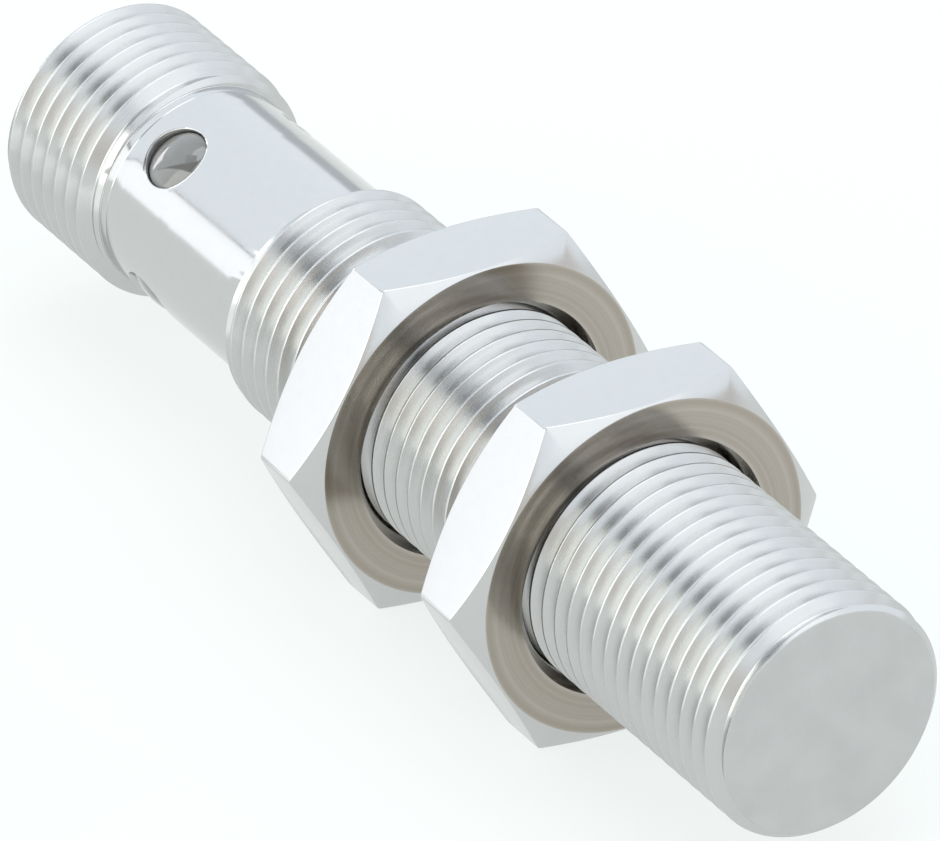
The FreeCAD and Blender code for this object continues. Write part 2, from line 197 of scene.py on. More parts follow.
def thread_depth(phase):
    """Depth below the crest at any phase of the pitch."""
    phase = phase % PITCH
    closed = THREAD_FORM + [(PITCH, 0.0)]
    for (p0, d0), (p1, d1) in zip(closed, closed[1:]):
        if p0 <= phase <= p1:
            return d0 + (d1 - d0) * (phase - p0) / max(p1 - p0, 1e-9)
    return 0.0


def thread_lead(turn):
    """How far a right-hand thread has moved forwards at this turn."""
    return PITCH * turn / (2 * math.pi)


def threaded_column(turn, start, end, envelope, surface, offset=BARREL_THREAD_PHASE):
    """Stations down one column of a threaded surface.  surface gives the radius for a depth in
    the thread form, and envelope trims it at a distance behind the face."""
    lead = thread_lead(turn) - offset
    column = []
    for pitch_index in range(int(start / PITCH) - 1, int(end / PITCH) + 3):
        for phase, depth in THREAD_FORM:
            behind = min(max(pitch_index * PITCH + phase - lead, start), end)
            true_depth = depth if start < behind < end else thread_depth(behind + lead)
            column.append((behind, envelope(behind, surface(true_depth))))
    return column


# ---------------------------------------------------------------- housing


def slope(behind, start, start_radius, end, end_radius):
    share = (behind - start) / (end - start)
    return start_radius + (end_radius - start_radius) * min(max(share, 0.0), 1.0)


def barrel_envelope(behind, radius):
    front = CREST - FACE_CHAMFER + behind
    rear = CREST - max(behind - BARREL_THREAD_END, 0.0) * 2
    return max(min(radius, front, rear), NECK)


def plug_envelope(behind, radius):
    front = slope(behind, NECK_END, NECK, PLUG_THREAD_START, CREST)
    past = max(behind - (OVERALL - REAR_ROUND), 0.0)
    rear = CREST - REAR_ROUND + math.sqrt(REAR_ROUND ** 2 - min(past, REAR_ROUND) ** 2)
    return min(radius, front, rear)


def outside(depth):
    return CREST - depth


def rear_rounding(turn):
    """Closely spaced stations over the rounded edge at the plug end."""
    lead = thread_lead(turn) - PLUG_THREAD_PHASE
    step = math.pi / 2 / REAR_STATIONS
    stations = [OVERALL - REAR_ROUND + REAR_ROUND * math.sin(step * k) for k in range(1, REAR_STATIONS + 1)]
    return [(behind, plug_envelope(behind, outside(thread_depth(behind + lead)))) for behind in stations]


def column_turns():
    return [FIRST_TURN + 2 * math.pi * i / COLUMNS for i in range(COLUMNS)]


def rings_from_columns(shell, columns, turns, threaded=0):
    """Turn equal-length columns into joined rings, and return the first and last ring.  The first
    `threaded` stations follow the thread, so over a whole turn they move on by one pitch, and the
    last column meets the first column one pitch along."""
    rings = []
    for k in range(len(columns[0])):
        rings.append(shell.ring([at(*columns[i][k], turns[i]) for i in range(len(turns))]))
    one_pitch = len(THREAD_FORM)
    for k in range(len(rings) - 1):
        first, second = rings[k], rings[k + 1]
        for i in range(len(turns) - 1):
            shell.faces.append((first[i], first[i + 1], second[i + 1], second[i]))
        if k >= threaded - 1:
            shell.faces.append((first[-1], first[0], second[0], second[-1]))
        elif k >= one_pitch:
            near, far = rings[k - one_pitch], rings[k - one_pitch + 1]
            shell.faces.append((first[-1], near[0], far[0], second[-1]))
    return rings[0], rings[-1]


def plain_rings(shell, profile, turns, joined_to=None):
    last = joined_to
    first = None
    for behind, radius in profile:
        ring = shell.ring([at(behind, radius, turn) for turn in turns])
        if last:
            shell.join(last, ring)
        first = first or ring
        last = ring
    return first, last


def window_patch(shell, surface, sector, edge):
    """One quarter of a tube's wall between the window zone's stations, with a round hole in it.
    edge is how much wider than the window the hole's loop is.  Returns the hole's loop."""
    rows = 16
    low, high = WINDOW_ZONE
    centre = WINDOW_TURN + 2 * math.pi * sector / WINDOWS
    half = math.pi / WINDOWS
    border = []
    for i in range(COLUMNS_PER_WINDOW):
        border.append((low, centre - half + 2 * half * i / COLUMNS_PER_WINDOW))
    for i in range(rows):
        border.append((low + (high - low) * i / rows, centre + half))
    for i in range(COLUMNS_PER_WINDOW):
        border.append((high, centre + half - 2 * half * i / COLUMNS_PER_WINDOW))
    for i in range(rows):
        border.append((high - (high - low) * i / rows, centre - half))
    hole = []
    for behind, turn in border:
        direction = math.atan2(behind - WINDOW_BEHIND, (turn - centre) * surface)
        across = (WINDOW_RADIUS + edge) * math.cos(direction)
        along = (WINDOW_RADIUS + edge) * math.sin(direction)
        hole.append((WINDOW_BEHIND + along, centre + math.asin(across / surface)))
    loops = 7
    previous = None
    for k in range(loops + 1):
        t = (k / loops) ** 0.8
        ring = shell.ring([
            at(b[0] + (c[0] - b[0]) * t, surface, b[1] + (c[1] - b[1]) * t) for b, c in zip(border, hole)
        ])
        if previous:
            shell.join(previous, ring)
        previous = ring
    return previous, hole, centre


def window_wall(shell, outer_loop, inner_loop, hole, centre):
    """The straight wall of a window's hole, with a small broken edge outside."""
    loops = [outer_loop]
    edge = (WINDOW_EDGE * 0.4, WINDOW_RADIUS + WINDOW_EDGE * 0.3)
    for depth, radius in (edge, (WINDOW_EDGE, WINDOW_RADIUS), (0.3, WINDOW_RADIUS)):
        points = []
        for behind, turn in hole:
            direction = math.atan2(behind - WINDOW_BEHIND, math.sin(turn - centre) * NECK)
            across = radius * math.cos(direction)
            height = math.sqrt(NECK ** 2 - across ** 2) - depth
            points.append(at(
                WINDOW_BEHIND + radius * math.sin(direction), math.hypot(across, height),
                centre + math.atan2(across, height),
            ))
        loops.append(shell.ring(points))
    loops.append(inner_loop)
    for first, second in zip(loops, loops[1:]):
        shell.join(first, second)


def make_housing():
    """The whole one-piece housing, outside and inside, as one closed mesh."""
    shell = Shell()
    turns = column_turns()
    face_edge = CREST - FACE_CHAMFER
    face_radii = (1.5, 3.0, 4.5, face_edge - 0.12, face_edge - 0.04)
    face_profile = [(0, radius) for radius in face_radii] + [(0.015, face_edge)]
    face, last = plain_rings(shell, face_profile, turns)
    shell.cap(face, at(0, 0, 0))
    neck_front = BARREL_THREAD_END + BARREL_RUN_OUT
    columns = [threaded_column(t, 0.03, neck_front, barrel_envelope, outside) for t in turns]
    first, rear = rings_from_columns(shell, columns, turns, threaded=len(columns[0]))
    shell.join(last, first)
    low, high = WINDOW_ZONE
    steps = [neck_front + (low - neck_front) * i / 6 for i in range(1, 7)]
    _, last = plain_rings(shell, [(b, NECK) for b in steps], turns, joined_to=rear)
    for sector in range(WINDOWS):
        outer, hole, centre = window_patch(shell, NECK, sector, WINDOW_EDGE)
        inner, _, _ = window_patch(shell, BORE, sector, 0.0)
        window_wall(shell, outer, inner, hole, centre)
    shoulder = rounded([
        (high, NECK), (NECK_LINE - 0.03, NECK), (NECK_LINE, NECK - 0.05),
        (NECK_LINE + 0.05, NECK - 0.03), (NECK_END, NECK - 0.03), (NECK_END + 0.02, NECK),
    ], 0.03)
    _, last = plain_rings(shell, shoulder, turns)
    columns = [
        threaded_column(t, NECK_END + 0.02, OVERALL - REAR_ROUND, plug_envelope, outside, PLUG_THREAD_PHASE)
        + rear_rounding(t) for t in turns
    ]
    first, rear = rings_from_columns(shell, columns, turns, threaded=len(columns[0]) - REAR_STATIONS)
    shell.join(last, first)
    rim = rounded([
        (OVERALL, CREST - THREAD_DEPTH - 0.1),
        (OVERALL, SOCKET + 0.2),
        (OVERALL - 0.2, SOCKET),
        (SOCKET_STEP, SOCKET),
        (SOCKET_STEP, BORE),
        (high, BORE),
    ], 0.05)
    plain_rings(shell, rim, turns, joined_to=rear)
    _, last = plain_rings(shell, [(low, BORE), (FACE_WALL, BORE), (FACE_WALL, 0.5)], turns)
    shell.cap(last, at(FACE_WALL, 0, 0))
    return shell.build("housing_turned")


# ---------------------------------------------------------------- lock nuts

NUT_RING = 8.4
NUT_SINK = 6.5
NUT_CORNER_ROUND = 0.22
NUT_EDGE_ROUND = 0.09
NUT_MINOR = 5.459


def nut_turns():
    """Columns round a nut, packed closely at its six corners."""
    offsets = (0.0, 0.35, 0.7, 1.1, 1.6, 2.3, 3.2, 4.5, 6.5, 9.0, 12.0, 15.0, 18.0, 21.0, 24.0, 27.0)
    degrees = set()
    for corner in range(0, 360, 60):
        for offset in offsets:
            degrees.add((corner + offset) % 360)
            degrees.add((corner - offset) % 360)
        degrees.add((corner + 30) % 360)
    return [math.radians(d) for d in sorted(degrees)]


def hexagon_radius(turn):
    """Distance to the hexagon's side, with its corners rounded; the corners lie at multiples of
    60 degrees, which puts two flats level."""
    off = abs((math.degrees(turn) + 30) % 60 - 30)
    off = math.radians(off)
    thirty = math.radians(30)
    centre = (NUT_HALF_FLATS - NUT_CORNER_ROUND) / math.cos(thirty)
    limit = math.atan2(NUT_CORNER_ROUND * math.sin(thirty), centre + NUT_CORNER_ROUND * math.cos(thirty))
    if off < limit:
        return centre * math.cos(off) + math.sqrt(NUT_CORNER_ROUND ** 2 - (centre * math.sin(off)) ** 2)
    return NUT_HALF_FLATS / math.cos(thirty - off)


def make_nut(name, front):
    shell = Shell()
    turns = nut_turns()
    rear = front + NUT_THICK
    cone = math.tan(math.radians(30))

    def bore_envelope(behind, radius):
        return max(radius, NUT_SINK - (behind - front) * 0.6, NUT_SINK - (rear - behind) * 0.6)

    def bore_surface(depth):
        return max(CREST - depth + THREAD_RUNNING_GAP, NUT_MINOR)

    outsides = []
    bores = []
    for turn in turns:
        side = hexagon_radius(turn)
        drop = (side - NUT_RING) * cone
        outline = [
            (front, NUT_SINK), (front, (NUT_SINK + NUT_RING) / 2), (front, NUT_RING), (front + drop, side),
            (rear - drop, side), (rear, NUT_RING), (rear, (NUT_SINK + NUT_RING) / 2), (rear, NUT_SINK),
        ]
        outsides.append(rounded(outline, NUT_EDGE_ROUND))
        bores.append(threaded_column(turn, front, rear, bore_envelope, bore_surface))
    first, last = rings_from_columns(shell, outsides, turns)
    bore_first, bore_last = rings_from_columns(shell, bores, turns, threaded=len(bores[0]))
    shell.join(first, bore_first)
    shell.join(last, bore_last)
    return shell.build(name, sharp_above=24.0)


# ---------------------------------------------------------------- windows


def make_lens(name, index):
    """A smoke-grey plug with a low dome, whose top is almost flush with the neck."""
    shell = Shell()
    centre = WINDOW_TURN + 2 * math.pi * index / WINDOWS
    radius = WINDOW_RADIUS - 0.005
    profile = [(0.35 * radius, 0), (0.6 * radius, 0), (0.8 * radius, 0), (0.93 * radius, 0), (radius, 0.05),
               (radius, 0.3)]

    def loop(across_radius, drop):
        points = []
        for k in range(64):
            around = 2 * math.pi * k / 64
            across = across_radius * math.cos(around)
            along = across_radius * math.sin(around)
            height = LENS_TOP - (LENS_DOME - math.sqrt(LENS_DOME ** 2 - across_radius ** 2)) - drop
            turn = centre + math.atan2(across, height)
            points.append(at(WINDOW_BEHIND + along, math.hypot(across, height), turn))
        return shell.ring(points)

    loops = [loop(r, d) for r, d in profile]
    shell.cap(loops[0], at(WINDOW_BEHIND, LENS_TOP, centre))
    for first, second in zip(loops, loops[1:]):
        shell.join(first, second)
    shell.cap(loops[-1], at(WINDOW_BEHIND, LENS_TOP - 0.62, centre))
    return shell.build(name, sharp_above=50.0)


# ---------------------------------------------------------------- plug insert and pins

INSERT_FACE = 53.0
INSERT_RADIUS = 4.65
PIN_RADIUS = 0.5
PIN_OFFSET = (pin_high[1] + pin_low[1]) / 2


def off_axis_ring(shell, behind, radius, y, z, count=32):
    points = []
    for k in range(count):
        around = 2 * math.pi * k / count
        across = y + radius * math.cos(around)
        up = z + radius * math.sin(around)
        points.append((-behind * MM, across * MM, up * MM))
    return shell.ring(points)


def make_pin(name, y, z):
    """A contact pin with a rounded tip, standing out of the insert."""
    shell = Shell()
    end = -pin_low[0]
    start = INSERT_FACE - 1.5
    outline = [(start, PIN_RADIUS), (end - 0.45, PIN_RADIUS), (end - 0.08, 0.3), (end, 0.12)]
    profile = rounded(outline, 0.35, steps=5)
    rings = [off_axis_ring(shell, behind, radius, y, z) for behind, radius in profile]
    for first, second in zip(rings, rings[1:]):
        shell.join(first, second)
    shell.cap(rings[0], (-start * MM, y * MM, z * MM))
    shell.cap(rings[-1], (-end * MM, y * MM, z * MM))
    return shell.build(name, sharp_above=60.0)


def make_insert():
    """The moulded insert: flange, raised collar round each pin, and the coding key."""
    shell = Shell()
    turns = [2 * math.pi * k / 96 for k in range(96)]
    front = -insert_high[0]
    profile = rounded([
        (front, 3.25), (SOCKET_STEP, 3.25), (SOCKET_STEP, INSERT_RADIUS), (INSERT_FACE, INSERT_RADIUS),
        (INSERT_FACE, 4.2), (INSERT_FACE - 0.25, 4.05), (INSERT_FACE - 0.25, 3.75), (INSERT_FACE, 3.6),
        (INSERT_FACE, 0.4),
    ], 0.06)
    first, last = plain_rings(shell, profile, turns)
    shell.cap(first, at(front, 0, 0))
    shell.cap(last, at(INSERT_FACE, 0, 0))
    body = shell.build("insert_body", sharp_above=40.0)
    extras = Shell()
    for y in (-PIN_OFFSET, PIN_OFFSET):
        for z in (-PIN_OFFSET, PIN_OFFSET):
            collar = rounded([
                (INSERT_FACE - 0.4, 0.95), (INSERT_FACE + 0.18, 0.95),
                (INSERT_FACE + 0.18, PIN_RADIUS + 0.02), (INSERT_FACE - 0.4, PIN_RADIUS + 0.02),
            ], 0.08)
            rings = [off_axis_ring(extras, behind, radius, y, z) for behind, radius in collar]
            for one, two in zip(rings, rings[1:] + rings[:1]):
                extras.join(one, two)
    key = []
    for behind, shrink in ((INSERT_FACE - 0.3, 0.0), (-insert_low[0] - 0.5, 0.0), (-insert_low[0], 0.18)):
        corners = rounded_rectangle(0.5 - shrink, 3.9 + shrink, 4.6, 0.12)
        key.append(extras.ring([(-behind * MM, y * MM, z * MM) for y, z in corners]))
    for one, two in zip(key, key[1:]):
        extras.join(one, two)
    for ring, behind in ((key[0], INSERT_FACE - 0.3), (key[-1], -insert_low[0])):
        extras.cap(ring, (-behind * MM, 0, 4.25 * MM))
    details = extras.build("insert_details", sharp_above=40.0)
    return body, details


def rounded_rectangle(half_width, low, high, radius):
    corners = [(half_width, low), (half_width, high), (-half_width, high), (-half_width, low)]
    points = []
    for i, corner in enumerate(corners):
        before = Vector(corners[i - 1]) - Vector(corner)
        after = Vector(corners[(i + 1) % 4]) - Vector(corner)
        start = Vector(corner) + before.normalized() * radius
        end = Vector(corner) + after.normalized() * radius
        for k in range(5):
            t = k / 4
            point = start * (1 - t) ** 2 + Vector(corner) * 2 * t * (1 - t) + end * t * t
            points.append((point.x, point.y))
    return points


# ---------------------------------------------------------------- materials


def new_material(name):
    material = bpy.data.materials.new(name)
    material.use_nodes = True
    tree = material.node_tree
    return material, tree, tree.nodes["Principled BSDF"]


def link(tree, source, target):
    tree.links.new(source, target)


def position_mm(tree):
    """The surface point in millimetres, in the piece's own axes."""
    coords = tree.nodes.new("ShaderNodeTexCoord")
    scale = tree.nodes.new("ShaderNodeVectorMath")
    scale.operation = "SCALE"
    scale.inputs["Scale"].default_value = 1 / MM
    link(tree, coords.outputs["Object"], scale.inputs[0])
    return scale.outputs["Vector"]


def math_node(tree, operation, first, second=None):
    node = tree.nodes.new("ShaderNodeMath")
    node.operation = operation
    for socket, value in zip(node.inputs, (first, second)):
        if value is None:
            continue
        if isinstance(value, (int, float)):
            socket.default_value = value
        else:
            link(tree, value, socket)
    return node.outputs[0]


def noise(tree, vector, scale, detail=3.0, roughness=0.5):
    node = tree.nodes.new("ShaderNodeTexNoise")
    node.inputs["Scale"].default_value = scale
    node.inputs["Detail"].default_value = detail
    node.inputs["Roughness"].default_value = roughness
    link(tree, vector, node.inputs["Vector"])
    return node.outputs["Fac"]


def stretched(tree, vector, x, y, z):
    node = tree.nodes.new("ShaderNodeVectorMath")
    node.operation = "MULTIPLY"
    node.inputs[1].default_value = (x, y, z)
    link(tree, vector, node.inputs[0])
    return node.outputs["Vector"]


def ramp(tree, value, low, high, from_value, to_value):
    node = tree.nodes.new("ShaderNodeMapRange")
    node.inputs["From Min"].default_value = low
    node.inputs["From Max"].default_value = high
    node.inputs["To Min"].default_value = from_value
    node.inputs["To Max"].default_value = to_value
    link(tree, value, node.inputs["Value"])
    return node.outputs["Result"]


def colour_mix(tree, value, first, second):
    node = tree.nodes.new("ShaderNodeMix")
    node.data_type = "RGBA"
    node.inputs["A"].default_value = (*first, 1)
    node.inputs["B"].default_value = (*second, 1)
    link(tree, value, node.inputs["Factor"])
    return node.outputs["Result"]


def bump(tree, height, strength, distance_mm, shader):
    node = tree.nodes.new("ShaderNodeBump")
    node.inputs["Strength"].default_value = strength
    node.inputs["Distance"].default_value = distance_mm * MM
    link(tree, height, node.inputs["Height"])
    link(tree, node.outputs["Normal"], shader.inputs["Normal"])


def axis_parts(tree, point):
    """Distance behind the face and distance from the axis, both in millimetres."""
    split = tree.nodes.new("ShaderNodeSeparateXYZ")
    link(tree, point, split.inputs[0])
    y2 = math_node(tree, "MULTIPLY", split.outputs["Y"], split.outputs["Y"])
    z2 = math_node(tree, "MULTIPLY", split.outputs["Z"], split.outputs["Z"])
    radius = math_node(tree, "SQRT", math_node(tree, "ADD", y2, z2))
    return math_node(tree, "MULTIPLY", split.outputs["X"], -1.0), radius


def turning_tangent(tree, shader):
    """Stretch highlights across the lathe marks, which run round the axis."""
    tangent = tree.nodes.new("ShaderNodeTangent")
    tangent.direction_type = "RADIAL"
    tangent.axis = "X"
    link(tree, tangent.outputs["Tangent"], shader.inputs["Tangent"])
    shader.inputs["Anisotropic Rotation"].default_value = 0.25


def turned_steel(name, tint, roughness, mark_strength, across=0.9, streaks=0.0):
    """Bright turned stainless steel: fine marks that follow the lathe's turning.  streaks adds
    broader rings of light and dark, as on a faced end."""
    material, tree, shader = new_material(name)
    point = position_mm(tree)
    behind, radius = axis_parts(tree, point)
    along_and_out = tree.nodes.new("ShaderNodeCombineXYZ")
    link(tree, behind, along_and_out.inputs["X"])
    link(tree, radius, along_and_out.inputs["Y"])
    marks = noise(tree, along_and_out.outputs["Vector"], 14.0, detail=5.0, roughness=0.65)
    cloud = noise(tree, point, 0.35, detail=3.0)
    stain = noise(tree, point, 1.7, detail=4.0, roughness=0.6)
    darker = (tint[0] * 0.84, tint[1] * 0.82, tint[2] * 0.78)
    rings = noise(tree, stretched(tree, along_and_out.outputs["Vector"], 0.0, 1.0, 0.0), 3.0, detail=4.0)
    shade = math_node(tree, "ADD", ramp(tree, stain, 0.35, 0.75, 0.0, 0.12),
                      math_node(tree, "MULTIPLY", ramp(tree, rings, 0.35, 0.65, 0.0, 1.0), streaks))
    link(tree, colour_mix(tree, shade, tint, darker), shader.inputs["Base Color"])
    shader.inputs["Anisotropic"].default_value = across
    turning_tangent(tree, shader)
    uneven = math_node(tree, "MULTIPLY", ramp(tree, cloud, 0.3, 0.7, 0.93, 1.1), roughness)
    grain = ramp(tree, marks, 0.3, 0.7, -0.03, 0.04)
    link(tree, math_node(tree, "ADD", uneven, grain), shader.inputs["Roughness"])
    shader.inputs["Metallic"].default_value = 1.0
    bump(tree, marks, mark_strength, 0.004, shader)
    return material


def lapped_steel(name, tint):
    """The matt sensing face."""
    material, tree, shader = new_material(name)
    point = position_mm(tree)
    fine = noise(tree, point, 9.0, detail=6.0, roughness=0.7)
    broad = noise(tree, point, 0.5)
    darker = tuple(c * 0.93 for c in tint)
    shade = ramp(tree, broad, 0.3, 0.7, 0.0, 1.0)
    link(tree, colour_mix(tree, shade, tint, darker), shader.inputs["Base Color"])
    link(tree, ramp(tree, fine, 0.3, 0.7, 0.42, 0.56), shader.inputs["Roughness"])
    shader.inputs["Metallic"].default_value = 1.0
    bump(tree, fine, 0.25, 0.006, shader)
    return material


def plastic(name, tint, roughness, grain=0.15, variation=0.12, scale=3.0, coat=0.0):
    """Moulded plastic, resin, rubber or ceramic with a faint mottle and a moulded grain."""
    material, tree, shader = new_material(name)
    point = position_mm(tree)
    mottle = noise(tree, point, scale, detail=4.0)
    fine = noise(tree, point, scale * 9, detail=2.0)
    low = tuple(max(c * (1 - variation), 0.0) for c in tint)
    high = tuple(min(c * (1 + variation), 1.0) for c in tint)
    link(tree, colour_mix(tree, mottle, low, high), shader.inputs["Base Color"])
    uneven = ramp(tree, fine, 0.3, 0.7, roughness * 0.85, min(roughness * 1.15, 1.0))
    link(tree, uneven, shader.inputs["Roughness"])
    shader.inputs["Coat Weight"].default_value = coat
    bump(tree, fine, grain, 0.01, shader)
    return material


def plated_metal(name, tint, roughness):
    material, tree, shader = new_material(name)
    point = position_mm(tree)
    drawn = noise(tree, stretched(tree, point, 0.4, 12.0, 12.0), 1.0, detail=3.0)
    darker = tuple(c * 0.85 for c in tint)
    link(tree, colour_mix(tree, drawn, tint, darker), shader.inputs["Base Color"])
    link(tree, ramp(tree, drawn, 0.3, 0.7, roughness * 0.8, roughness * 1.3), shader.inputs["Roughness"])
    shader.inputs["Metallic"].default_value = 1.0
    bump(tree, drawn, 0.1, 0.004, shader)
    return material


def copper_winding(name):
    """Enamelled wire laid turn beside turn. Its colour is painted lighter on each wire's crown and painted
    darker, as shade, in the grooves between turns.
    """
    material, tree, shader = new_material(name)
    point = position_mm(tree)
    behind, radius = axis_parts(tree, point)
    turns = math_node(tree, "SINE", math_node(tree, "MULTIPLY", behind, 2 * math.pi / 0.12))
    # Painted shade: the copper is darkened in the grooves between turns and lightened on each crown.
    crown_painted_light_groove_shade = ramp(tree, turns, -1.0, 1.0, 0.0, 1.0)
    link(tree, colour_mix(tree, crown_painted_light_groove_shade, (0.35, 0.12, 0.05), (0.75, 0.33, 0.16)), shader.inputs["Base Color"])
    shader.inputs["Metallic"].default_value = 1.0
    shader.inputs["Roughness"].default_value = 0.25
    bump(tree, turns, 0.5, 0.04, shader)
    return material


def circuit_laminate(name):
    """Solder mask over glass weave, with faint copper tracks under it."""
    material, tree, shader = new_material(name)
    point = position_mm(tree)
    split = tree.nodes.new("ShaderNodeSeparateXYZ")
    link(tree, point, split.inputs[0])
    tracks = math_node(tree, "SINE", math_node(tree, "MULTIPLY", split.outputs["Y"], 5.5))
    wander = noise(tree, stretched(tree, point, 0.5, 2.0, 1.0), 1.0)
    lines = math_node(tree, "GREATER_THAN", math_node(tree, "ADD", tracks, wander), 1.1)
    link(tree, colour_mix(tree, lines, (0.015, 0.12, 0.05), (0.03, 0.22, 0.09)), shader.inputs["Base Color"])
    shader.inputs["Roughness"].default_value = 0.3
    bump(tree, lines, 0.3, 0.03, shader)
    return material


def smoke_lens(name):
    """Smoke-grey polished plastic over the light ring."""
    material, tree, shader = new_material(name)
    point = position_mm(tree)
    haze = noise(tree, point, 1.2, detail=2.0)
    link(tree, colour_mix(tree, haze, (0.1, 0.097, 0.092), (0.15, 0.146, 0.14)), shader.inputs["Base Color"])
    link(tree, ramp(tree, noise(tree, point, 25.0), 0.3, 0.7, 0.05, 0.09), shader.inputs["Roughness"])
    shader.inputs["Coat Weight"].default_value = 0.8
    shader.inputs["Coat IOR"].default_value = 1.7
    shader.inputs["Coat Roughness"].default_value = 0.06
    return material


def dress(piece, *materials):
    piece.data.materials.clear()
    for material in materials:
        piece.data.materials.append(material)


# ---------------------------------------------------------------- build the visible pieces

STEEL = (0.562, 0.563, 0.56)
# The nut ends take a darker, browner copy of the steel. This is painted shade and painted reflection of the
# dark barrel threads, laid over the real faced finish and its rings.
NUT_END_STEEL_PAINTED_SHADE = (0.445, 0.41, 0.37)

housing_finish = turned_steel("housing_steel_turned", STEEL, 0.24, 0.12, across=0.85)
face_finish = lapped_steel("sensing_face_lapped", STEEL)
neck_finish = turned_steel("neck_steel_ground", STEEL, 0.13, 0.02, across=0.3)
nut_flat_finish = turned_steel("nut_steel_bright", STEEL, 0.18, 0.04, across=0.0)
nut_end_finish_with_painted_shade = turned_steel("nut_steel_faced_painted_shade", NUT_END_STEEL_PAINTED_SHADE, 0.15, 0.25, across=0.6, streaks=1.0)

housing = make_housing()
dress(housing, housing_finish, face_finish, neck_finish)
for polygon in housing.data.polygons:
    centre = polygon.center
    from_axis = math.hypot(centre.y, centre.z)
    if -NECK_END < centre.x / MM < -BARREL_THREAD_END - BARREL_RUN_OUT and from_axis > 5.0 * MM:
        polygon.material_index = 2
    if centre.x > -0.01 * MM and from_axis < (CREST - FACE_CHAMFER) * MM:
        polygon.material_index = 1
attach(housing, "housing")
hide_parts("housing")

for body, high in (("front_nut", front_nut_high), ("rear_nut", rear_nut_high)):
    nut = make_nut(body + "_threaded", -high[0])
    dress(nut, nut_flat_finish, nut_end_finish_with_painted_shade)
    # End faces and bore take the second material: the darker steel that paints in the reflected shade.
    for polygon in nut.data.polygons:
        if abs(polygon.normal.x) > 0.95 or math.hypot(polygon.center.y, polygon.center.z) < 7.0 * MM:
            polygon.material_index = 1
    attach(nut, body)
    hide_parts(body)

lens_finish = smoke_lens("window_smoke")
for index in range(WINDOWS):
    lens = make_lens(f"window_dome_{index + 1}", index)
    dress(lens, lens_finish)
    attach(lens, "housing")
    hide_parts(f"window_lens_{index + 1}")

insert_finish = plastic("insert_moulded", (0.018, 0.018, 0.019), 0.42, grain=0.25)
insert_body, insert_details = make_insert()
for piece in (insert_body, insert_details):
    dress(piece, insert_finish)
    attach(piece, "housing")
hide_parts("contact_carrier")

pin_finish = plated_metal("contact_gold_plate", (0.83, 0.61, 0.25), 0.2)
for index in range(1, 5):
    low, high = span_mm(f"contact_pin_{index}")
    side = PIN_OFFSET if high[1] > 0 else -PIN_OFFSET
    level = PIN_OFFSET if high[2] > 1 else -PIN_OFFSET
    pin = make_pin(f"pin_round_{index}", side, level)
    dress(pin, pin_finish)
    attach(pin, "housing")
    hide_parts(f"contact_pin_{index}")

# the pieces inside keep their CAD shape
INNER_FINISHES = {
    "ferrite_core": plastic("ferrite_sintered", (0.05, 0.05, 0.055), 0.6, grain=0.3),
    "coil_bobbin": plastic("bobbin_moulded", (0.7, 0.69, 0.64), 0.45),
    "coil_winding": copper_winding("winding_enamelled"),
    "coil_leads": plated_metal("lead_enamelled", (0.62, 0.26, 0.12), 0.3),
    "core_holder": plastic("holder_moulded", (0.05, 0.05, 0.055), 0.5),
    "circuit_board": circuit_laminate("board_solder_mask"),
    "chip_resistors": plastic("resistor_glaze", (0.03, 0.03, 0.04), 0.3, scale=6.0),
    "chip_capacitors": plastic("capacitor_ceramic", (0.5, 0.36, 0.22), 0.5, scale=6.0),
    "status_leds": plastic("led_epoxy", (0.85, 0.82, 0.6), 0.15, scale=6.0, coat=0.5),
    "insulating_sleeve": plastic("sleeve_film", (0.55, 0.27, 0.05), 0.2, grain=0.05),
    "potting_compound": plastic("cast_resin", (0.1, 0.09, 0.08), 0.25),
    "light_ring": plastic("light_ring_frosted", (0.85, 0.87, 0.86), 0.3, grain=0.1),
    "carrier_seal": plastic("seal_elastomer", (0.02, 0.02, 0.02), 0.6, grain=0.3),
}
package_finish = plastic("package_epoxy", (0.025, 0.025, 0.027), 0.5, grain=0.3, scale=6.0)
for node in ("sensor_ic", "voltage_regulator", "output_driver", "protection_diodes"):
    INNER_FINISHES[node] = package_finish
for node, finish in INNER_FINISHES.items():
    dress(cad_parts[node], finish)

# ---------------------------------------------------------------- studio


def direction(azimuth, elevation):
    """Unit vector from the object, azimuth from +X towards +Y."""
    a = math.radians(azimuth)
    e = math.radians(elevation)
    return Vector((math.cos(e) * math.cos(a), math.cos(e) * math.sin(a), math.sin(e)))


def glowing(name, colour, strength):
    material = bpy.data.materials.new(name)
    material.use_nodes = True
    tree = material.node_tree
    tree.nodes.clear()
    output = tree.nodes.new("ShaderNodeOutputMaterial")
    light = tree.nodes.new("ShaderNodeEmission")
    light.inputs["Color"].default_value = (*colour, 1)
    light.inputs["Strength"].default_value = strength
    tree.links.new(light.outputs[0], output.inputs["Surface"])
    return material


STUDIO_CENTRE = Vector((-0.03, 0, 0))


def patch(name, columns, colour, strength, distance=1.5):
    """A curved softbox round the object.  Each column is an azimuth with its lower and upper
    elevation, in degrees as the object sees them."""
    rows = 12
    points = []
    faces = []
    for azimuth, low, high in columns:
        for k in range(rows + 1):
            elevation = low + (high - low) * k / rows
            points.append(tuple(STUDIO_CENTRE + direction(azimuth, elevation) * distance))
    for i in range(len(columns) - 1):
        for k in range(rows):
            a = i * (rows + 1) + k
            faces.append((a, a + 1, a + rows + 2, a + rows + 1))
    mesh = bpy.data.meshes.new(name)
    mesh.from_pydata(points, [], faces)
    panel = bpy.data.objects.new(name, mesh)
    bpy.context.scene.collection.objects.link(panel)
    panel.data.materials.append(glowing(name + "_light", colour, strength))
    panel.visible_camera = False
    return panel


def spread(first, last, low, high, step=5):
    count = max(int(abs(last - first) / step), 1)
    return [(first + (last - first) * i / count, low, high) for i in range(count + 1)]


